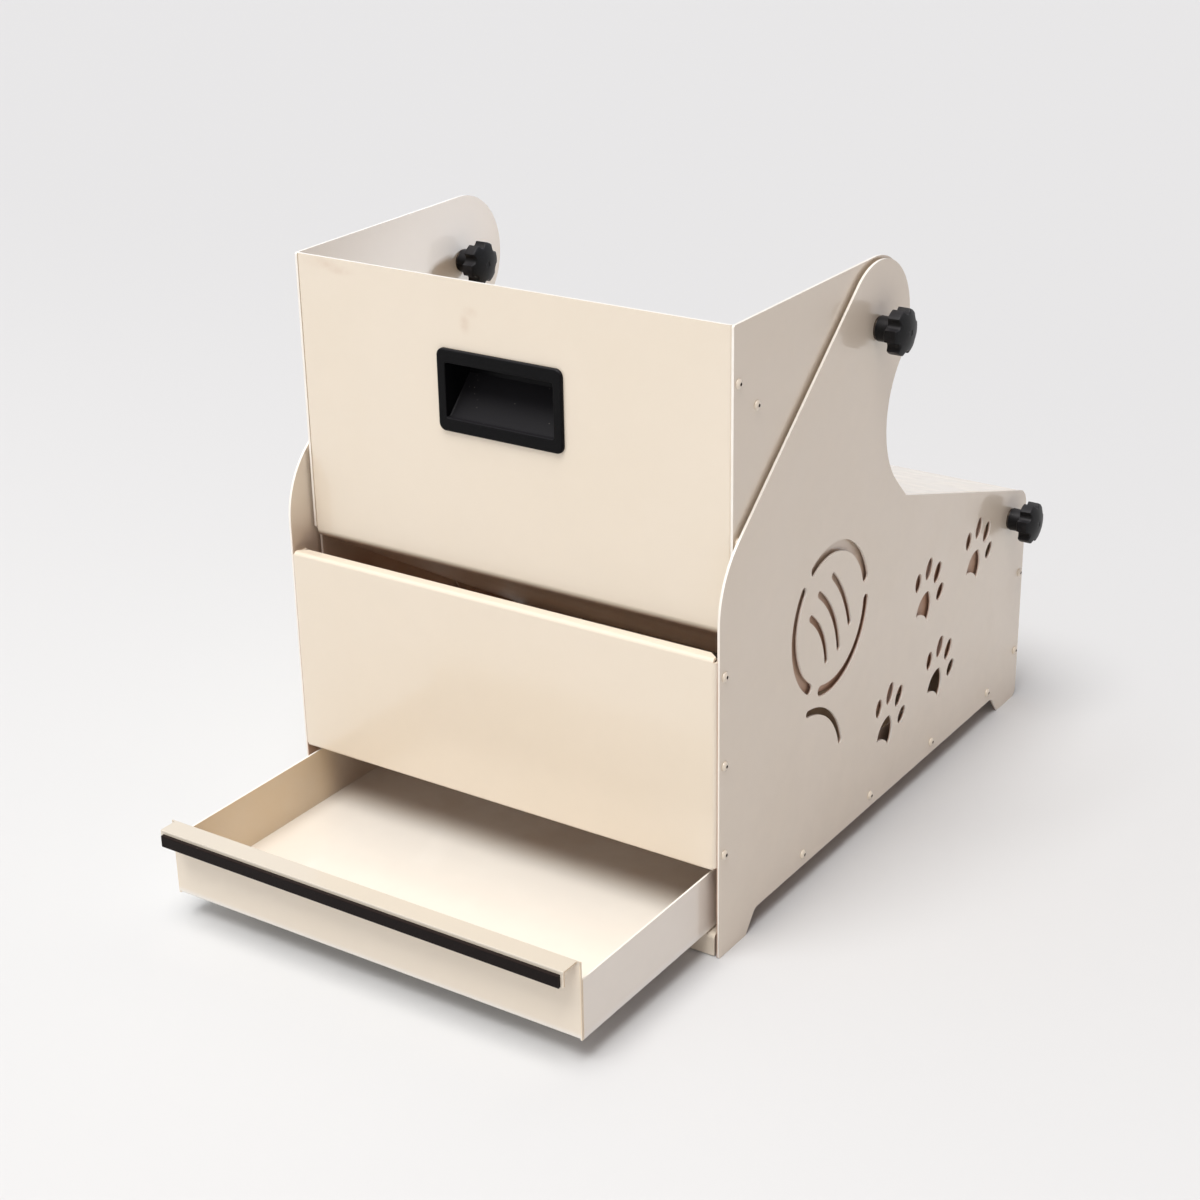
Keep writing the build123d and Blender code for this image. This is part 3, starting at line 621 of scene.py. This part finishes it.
# Bucket fasteners: the same cream screws and blackened nuts. They go through the side plates
# into the flanges of the front wall and of both floors.
wing_face, wing_nut_seat, first_turn = 0.1955, 0.1883, 0.4
bucket_spots = [
    (31.8, 445.3), (57.4, 422.7), (31.8, 327), (100, 229), (225, 154), (396, 141), (446.5, 186),
]
build = copies(screw(), side_places(bucket_spots, wing_face, first_turn))
fit_piece(
    "bucket_button_screws", build, screw_materials, "bucket", "cream_powder_coat",
    "bucket_screws",
)
build = copies(nut(), side_places(bucket_spots, wing_nut_seat))
fit_piece("bucket_hexagon_nuts", build, [black_steel], "bucket", "plated_steel", "bucket_nuts")

# Recessed pull: a black moulded cup snapped into the front wall. It has a rounded bezel, a grained
# floor that slopes down to the mouth, and finger room behind the bezel's upper edge. Dust specks
# lie on the slope.


def flat_rounded(build, wide, high, corner):
    """A rounded rectangle facing the front, as one face, in millimetres."""
    corners = ((-1, -1), (1, -1), (1, 1), (-1, 1))
    verts = [build.verts.new((x * wide / 2, 0, z * high / 2)) for x, z in corners]
    build.faces.new(verts)
    bmesh.ops.bevel(
        build, geom=verts, offset=corner, offset_type="OFFSET", segments=8, profile=0.5,
        affect="VERTICES", material=-1,
    )
    build.faces.ensure_lookup_table()
    return build.faces[0]


def extent(face, axis):
    """How far a face reaches along an axis."""
    places = [vert.co[axis] for vert in face.verts]
    return max(places) - min(places)


def inset(build, face, edge_x, edge_z):
    """A smaller copy of a face inside it, its sides moved in by different amounts."""
    wide, high = extent(face, 0) - 2 * edge_x, extent(face, 2) - 2 * edge_z
    build.normal_update()
    bmesh.ops.inset_individual(build, faces=[face], thickness=min(edge_x, edge_z) / 2, depth=0)
    shrink = (wide / extent(face, 0), 1, high / extent(face, 2))
    bmesh.ops.scale(build, vec=shrink, verts=face.verts)


def push(build, face, depth):
    """Draws a face back by a depth and returns the face at the new end."""
    end = bmesh.ops.extrude_discrete_faces(build, faces=[face])["faces"][0]
    bmesh.ops.translate(build, vec=(0, depth, 0), verts=end.verts)
    return end


plastic_group, given = skin_group(
    "moulded_grain_skin",
    {
        "Colour": (TINT, (0.0022, 0.0022, 0.0026, 1)),
        "Worn Colour": (TINT, (0.022, 0.021, 0.0235, 1)),
        "Dust Colour": (TINT, (0.3, 0.28, 0.25, 1)),
        "Wear": (NUMBER, 0.0),
        "Grain": (NUMBER, 1400.0),
        "Depth": (NUMBER, 1.6e-5),
    },
    {"Colour": TINT, "Roughness": NUMBER, "Normal": DIRECTION},
)
place = spot(plastic_group)
grain = noise(plastic_group, place, given["Grain"], 2, 0.6)
patches = noise(plastic_group, place, 70, 3, 0.6)
cells = shader(plastic_group, "ShaderNodeTexVoronoi", {"Vector": place, "Scale": 420.0}).outputs
chosen = shader(plastic_group, "ShaderNodeSeparateColor", {0: cells["Color"]}).outputs[0]
speck = ramp(plastic_group, cells["Distance"], 0.16, 0.05)
speck = maths(plastic_group, "MULTIPLY", speck, ramp(plastic_group, chosen, 0.9, 0.97, 0, 0.75))
upward = split(plastic_group, outward(plastic_group))["Z"]
settled = maths(plastic_group, "MULTIPLY", speck, ramp(plastic_group, upward, 0.15, 0.6))
rubbed = maths(plastic_group, "MULTIPLY", given["Wear"], ramp(plastic_group, patches, 0.35, 0.7))
grain_share = ramp(plastic_group, grain, 0.45, 0.75, 0, 0.35)
# Faces that look up are blended towards the paler colour, by how squarely they face up.
upward_share = ramp(plastic_group, upward, 0.2, 0.8, 0, 0.7)
tone = blend(plastic_group, rubbed, given["Colour"], given["Worn Colour"])
tone = blend(plastic_group, grain_share, tone, given["Worn Colour"])
tone = blend(plastic_group, upward_share, tone, given["Worn Colour"])
dull = maths(plastic_group, "MULTIPLY_ADD", patches, 0.14, 0.33)
finish = {
    "Colour": blend(plastic_group, settled, tone, given["Dust Colour"]),
    "Roughness": maths(plastic_group, "MULTIPLY_ADD", rubbed, -0.08, dull),
    "Normal": relief(plastic_group, maths(plastic_group, "MULTIPLY", grain, given["Depth"])),
}
shader(plastic_group, "NodeGroupOutput", finish)


def moulded(name, values, gloss=0.09):
    """A grained black moulding."""
    return skinned(name, plastic_group, values, {"Specular IOR Level": gloss})


bezel_wide, bezel_high, bezel_thick, bezel_corner = 113.5, 65.0, 3.0, 6.0
mouth_wide, mouth_high, mouth_lip = 98.0, 43.5, 1.5
cup_wide, cup_high, cup_deep, cup_wall = 103.6, 55.6, 30.0, 1.8
slope_end, slope_rise, back_gap = 6, 0.05, 3.4
catch_size, catch_depth, catch_height, catch_draft, catch_sink = (3, 9, 11), 6.7, 15, 1.2, 0.2
pull_place = (-0.004, front_y + 0.0222, 0.402)

pull = bmesh.new()
bezel = flat_rounded(pull, bezel_wide, bezel_high, bezel_corner)
back = push(pull, bezel, bezel_thick)
inset(pull, back, (bezel_wide - cup_wide) / 2, (bezel_high - cup_high) / 2)
back = push(pull, back, cup_deep)
bmesh.ops.holes_fill(pull, edges=[edge for edge in pull.edges if edge.is_boundary], sides=0)
pull.faces.ensure_lookup_table()
mouth = min(pull.faces, key=lambda face: face.calc_center_median().y)
outer_rim = list(mouth.edges)
inset(pull, mouth, (bezel_wide - mouth_wide) / 2, (bezel_high - mouth_high) / 2)
mouth_rim = list(mouth.edges)
mouth = push(pull, mouth, bezel_thick + mouth_lip)
mouth = push(pull, mouth, 0.0)
for vert in mouth.verts:
    if vert.co.z > 0:
        vert.co.z += cup_high / 2 - cup_wall - mouth_high / 2
mouth = push(pull, mouth, cup_deep - back_gap)
for vert in mouth.verts:
    if vert.co.z < 0:
        vert.co.z = slope_end + (vert.co.z + mouth_high / 2) * slope_rise
tail_y = bezel_thick + cup_deep - 0.1
tail_rim = [edge for edge in pull.edges if all(vert.co.y > tail_y for vert in edge.verts)]
for rim, width, steps in ((outer_rim, 1.6, 4), (mouth_rim, 0.8, 3), (tail_rim, 1.5, 2)):
    bmesh.ops.bevel(
        pull, geom=rim, offset=width, offset_type="OFFSET", segments=steps, profile=0.5,
        affect="EDGES", material=-1,
    )
for side in (1, -1):
    for height in (-catch_height, catch_height):
        catch = bmesh.ops.create_cube(pull, size=1)["verts"]
        catch_place = (side * (cup_wide / 2 - catch_sink), bezel_thick + catch_depth, height)
        bmesh.ops.scale(pull, vec=catch_size, verts=catch)
        bmesh.ops.translate(pull, vec=catch_place, verts=catch)
        for vert in catch:
            if vert.co.y > bezel_thick + catch_depth and abs(vert.co.x) > cup_wide / 2:
                vert.co.x -= side * catch_draft
bmesh.ops.recalc_face_normals(pull, faces=pull.faces)
bmesh.ops.scale(pull, vec=(0.001, 0.001, 0.001), verts=pull.verts)
bmesh.ops.translate(pull, vec=pull_place, verts=pull.verts)
pull_plastic = moulded("pull_plastic", {})
fit_piece("recessed_pull", pull, [pull_plastic], "bucket", "black_plastic", "pull_cup")

# Entry deck: a thin folded sheet that slopes to the rear and hinges on two bolts. It has the same
# coat, laid smoother, and is lightly dusted where paws land.


def paw_dust(tree):
    """A light, patchy dulling of the deck's top."""
    patchy = ramp(tree, noise(tree, spot(tree), 14, 2), 0.45, 0.75, 0, 0.03)
    return maths(tree, "MULTIPLY", patchy, ramp(tree, facing(tree, (0, 0, 1)), 0.7, 0.9))


paw_grey = (0.62, 0.55, 0.46, 1)
deck_coat = powder_coat(
    "deck_powder_coat", {"Marks And Shade": paw_dust, "Sway": 6e-6, "Peel": 0.5, "Mark And Shade Colour": paw_grey}
)
soften("entry_deck", 0.0004, deck_coat)

# Clamping bolts, washers and spacers: round-headed plated bolts carry the bucket and the deck.
# Blackened washers lie under the knobs, and nylon rings keep the painted plates apart.
zinc = metal("zinc_plate", {})
for name in ("right_pivot_bolt", "left_pivot_bolt", "right_deck_bolt", "left_deck_bolt"):
    soften(name, 0.0002, zinc)
for name in ("knob_washers", "left_pivot_washer"):
    soften(name, 0.0002, black_steel)

nylon = bpy.data.materials.new("natural_nylon")
nylon.use_nodes = True
tree = nylon.node_tree
place = spot(tree)
milk, deep_milk = (0.78, 0.77, 0.7, 1), (0.68, 0.66, 0.58, 1)
milky = blend(tree, noise(tree, place, 240, 2), milk, deep_milk)
satin = ramp(tree, noise(tree, place, 500, 2), 0.3, 0.7, 0.4, 0.52)
ring = tree.nodes["Principled BSDF"]
tree.links.new(milky, ring.inputs["Base Color"])
tree.links.new(satin, ring.inputs["Roughness"])
ring.inputs["Subsurface Weight"].default_value = 0.2
ring.inputs["Subsurface Radius"].default_value = (0.002, 0.002, 0.0015)
for name in ("pivot_spacers", "deck_spacers"):
    soften(name, 0.0002, nylon)

# Star knobs: black moulded knobs on round hubs. Six square-shouldered lobes run into one domed
# face with a gate mark in its middle, the lobes' tips are rubbed, and a brass thread insert is
# moulded into each hub.
lobe_reach, notch_centre, notch_round = 18.2, 18.9, 4.4
crown_height, crown_radius = 26, 42
insert_across, pocket_deep = 12, 17


def lobes(share=1.0, narrower=0.0):
    """The knob's outline by angle: a circle with six round notches, at 0, 60 ... degrees."""

    def outline(angle):
        off = (angle + math.radians(30)) % math.radians(60) - math.radians(30)
        across = notch_centre * math.sin(off)
        reach = lobe_reach - narrower
        width = notch_round + narrower
        if abs(across) < width:
            notch_edge = notch_centre * math.cos(off) - math.sqrt(width**2 - across**2)
            reach = min(reach, notch_edge)
        return share * reach

    return outline


def dome(drop=0.0):
    """Height of the knob's domed face by distance from its middle, lowered by a drop."""
    return lambda out: crown_height - (crown_radius - math.sqrt(crown_radius**2 - out**2)) - drop


hub_pocket = hexagon(insert_across * math.cos(math.radians(30)))
hub = [(pocket_deep, hub_pocket), (0, hub_pocket), (0, 9.5), (0.5, 10.0), (11.2, 9.7), (11.8, 10.2)]
sides = [(11.8, lobes(1, 0.7)), (12.2, lobes(1, 0.15)), (12.8, lobes()), (dome(0.9), lobes())]
shoulder = [
    (dome(0.25), lobes(1, 0.2)), (dome(), lobes(0.965, 0.3)), (dome(), lobes(0.9, 0.3)),
]
crown = [(dome(), lobes(share)) for share in (0.8, 0.66, 0.5, 0.33)]
gate_mark = [(dome(), 2.6), (dome(0.1), 2.3), (25.6, 2.1)]
knob = turned(hub + sides + shoulder + crown + gate_mark, 120)
rub_start, rub_width, face_edge = 17.2, 1.2, 12.5
rub = knob.verts.layers.float.new("rubbed")
for vert in knob.verts:
    reach = math.hypot(vert.co.x, vert.co.y) * 1000
    tip = max(0.0, min(1.0, (reach - rub_start) / rub_width))
    vert[rub] = tip * (0.9 if vert.co.z * 1000 > face_edge else 0.4)
knob_mesh = bpy.data.meshes.new("star_knob")
knob.to_mesh(knob_mesh)
knob.free()


def rubbed_tips(tree):
    """How rubbed the knob is, from its mesh."""
    return shader(tree, "ShaderNodeAttribute", attribute_name="rubbed").outputs["Fac"]


knob_plastic = moulded(
    "knob_plastic", {"Wear": rubbed_tips, "Grain": 1100.0, "Depth": 7e-6}, gloss=0.19
)
pivot_spot = (front_y + 0.233, 0.434)
deck_spot = (front_y + 0.5047, 0.1875)
outer_seat, inner_seat = 0.2015, 0.192
for name, body, x, side, (y, z), turn in (
    ("right_pivot_knob", "right_pivot_clamp", outer_seat, 1, pivot_spot, 0),
    ("left_pivot_knob", "left_pivot_clamp", -inner_seat, 1, pivot_spot, 8),
    ("right_deck_knob", "right_deck_clamp", outer_seat, 1, deck_spot, -4),
    ("left_deck_knob", "left_deck_clamp", -outer_seat, -1, deck_spot, 0),
):
    build = bmesh.new()
    build.from_mesh(knob_mesh)
    seat = Matrix.Translation((x, y, z)) @ Matrix.Rotation(side * math.radians(90), 4, "Y")
    seat = seat @ Matrix.Rotation(math.radians(turn), 4, "Z")
    bmesh.ops.transform(build, matrix=seat, verts=build.verts)
    fit_piece(name + "_moulding", build, [knob_plastic], body, "black_plastic", name)

brass = metal(
    "turned_brass", {"Colour": (0.74, 0.55, 0.25, 1), "Dull Colour": (0.6, 0.42, 0.18, 1)}
)
for place in ("right_pivot", "left_pivot", "right_deck", "left_deck"):
    soften(place + "_knob_insert", 0.0002, brass)

# Waste drawer: a folded 1.5 mm pan. Its tall front ends in a grip lip, and its low sides meet the
# front in open seams. Dust lies in the seams, and the inner walls are tinted straw. The rear part
# under the bucket carries painted dark brown shade, the floor in front of that is painted paler for
# the light that falls on it, and the walls' top edges and the faces looking along X are painted
# paler as highlights.


wall_inner, wall_outer = 0.1893, 0.1902
seam_start, seam_end = -0.3405, -0.3422
drawer_shade_start, drawer_shade_full = -0.165, -0.128


def drawer_dust_and_shade(tree):
    """The mask: dust in the seams, a straw tint on the inner walls, and painted shade on the rear
    part, under the bucket.
    """
    place = spot(tree)
    parts = split(tree, place)
    side = maths(tree, "ABSOLUTE", parts["X"])
    seam_side = ramp(tree, side, wall_inner, wall_outer)
    seam_depth = ramp(tree, parts["Y"], seam_start, seam_end, 0, 0.4)
    seam = maths(tree, "MULTIPLY", seam_side, seam_depth)
    wall_side = ramp(tree, side, 0.19, wall_inner)
    upright = ramp(tree, facing(tree, (1, 0, 0)), 0.7, 0.95, 0, 0.6)
    wall = maths(tree, "MULTIPLY", wall_side, upright)
    # Painted shade: the rear part, under the bucket, turns dark brown.
    deep = ramp(tree, parts["Y"], drawer_shade_start, drawer_shade_full, 0, 0.62)
    level = maths(tree, "MAXIMUM", maths(tree, "MAXIMUM", seam, wall), deep)
    uneven = ramp(tree, noise(tree, place, 25, 3, 0.6), 0.3, 0.75, 0.86, 1)
    return maths(tree, "MULTIPLY", level, uneven)


straw, painted_shade_brown = (0.76, 0.54, 0.27, 1), (0.27, 0.14, 0.05, 1)
# The first is the drawer floor's cream, painted paler for the light that falls on it; the second is
# the lip's deeper cream.
lit_floor_cream, lip_cream = (0.83, 0.78, 0.71, 1), (0.64, 0.58, 0.49, 1)


def dust_and_shade_tone(tree):
    """The colour: straw near the front for the dust and wall tint, dark brown under the bucket for
    painted shade.
    """
    depth = ramp(tree, split(tree, spot(tree))["Y"], -0.175, -0.14)
    return blend(tree, depth, straw, painted_shade_brown)


def drawer_tone(tree):
    """The drawer's coat: painted paler on its floor for the light that falls there, and deeper on
    the lip.
    """
    height = split(tree, spot(tree))["Z"]
    walls = blend(tree, ramp(tree, height, 0.08, 0.085), cream, lip_cream)
    return blend(tree, ramp(tree, height, 0.028, 0.023), walls, lit_floor_cream)


wall_top = 0.0702
drawer_coat = powder_coat(
    "drawer_powder_coat",
    {
        "Edge": edge_highlights(wall_top),
        "Marks And Shade": drawer_dust_and_shade,
        "Mark And Shade Colour": dust_and_shade_tone,
        "Colour": drawer_tone,
        "Deep Colour": drawer_tone,
    },
)
soften("drawer_pan", 0.0003, drawer_coat)

# Grip strip: black rubber edging pressed onto the lip's turned-down edge. It is matt and faintly
# fibrous.
rubber_finish = {
    "Grain": 900.0,
    "Depth": 3e-5,
    "Colour": (0.007, 0.0042, 0.0038, 1),
    "Worn Colour": (0.022, 0.014, 0.012, 1),
}
soften("grip_strip", 0.0006, moulded("edging_rubber", rubber_finish))

# Bumper feet: clear soft domes stuck under the drawer's corners. The drawer slides on them over
# the base plate.
clear = bpy.data.materials.new("clear_soft_plastic")
clear.use_nodes = True
tree = clear.node_tree
place = spot(tree)
gel = tree.nodes["Principled BSDF"]
gel.inputs["Transmission Weight"].default_value = 0.85
gel.inputs["IOR"].default_value = 1.48
clear_tone, cloudy_tone = (0.9, 0.91, 0.9, 1), (0.78, 0.79, 0.77, 1)
tree.links.new(
    blend(tree, noise(tree, place, 300, 2), clear_tone, cloudy_tone), gel.inputs["Base Color"]
)
tree.links.new(
    ramp(tree, noise(tree, place, 800, 2), 0.3, 0.7, 0.12, 0.24), gel.inputs["Roughness"]
)
bumper_x, bumper_middle, bumper_step, drawer_bottom = 0.1814, front_y + 0.081, 0.23, 0.0215
bumper_places = [
    Matrix.Translation((x, bumper_middle + y, drawer_bottom)) @ Matrix.Rotation(math.pi, 4, "X")
    for x in (-bumper_x, bumper_x)
    for y in (-bumper_step, bumper_step)
]
bumper = turned(
    [(0, 5.0), (0.3, 5.0), (0.75, 4.7), (1.2, 4.0), (1.55, 2.9), (1.75, 1.5), (1.8, 0.5)], 32
)
build = copies(bumper, bumper_places)
fit_piece("bumper_domes", build, [clear], "drawer", "clear_bumper", "drawer_bumpers")
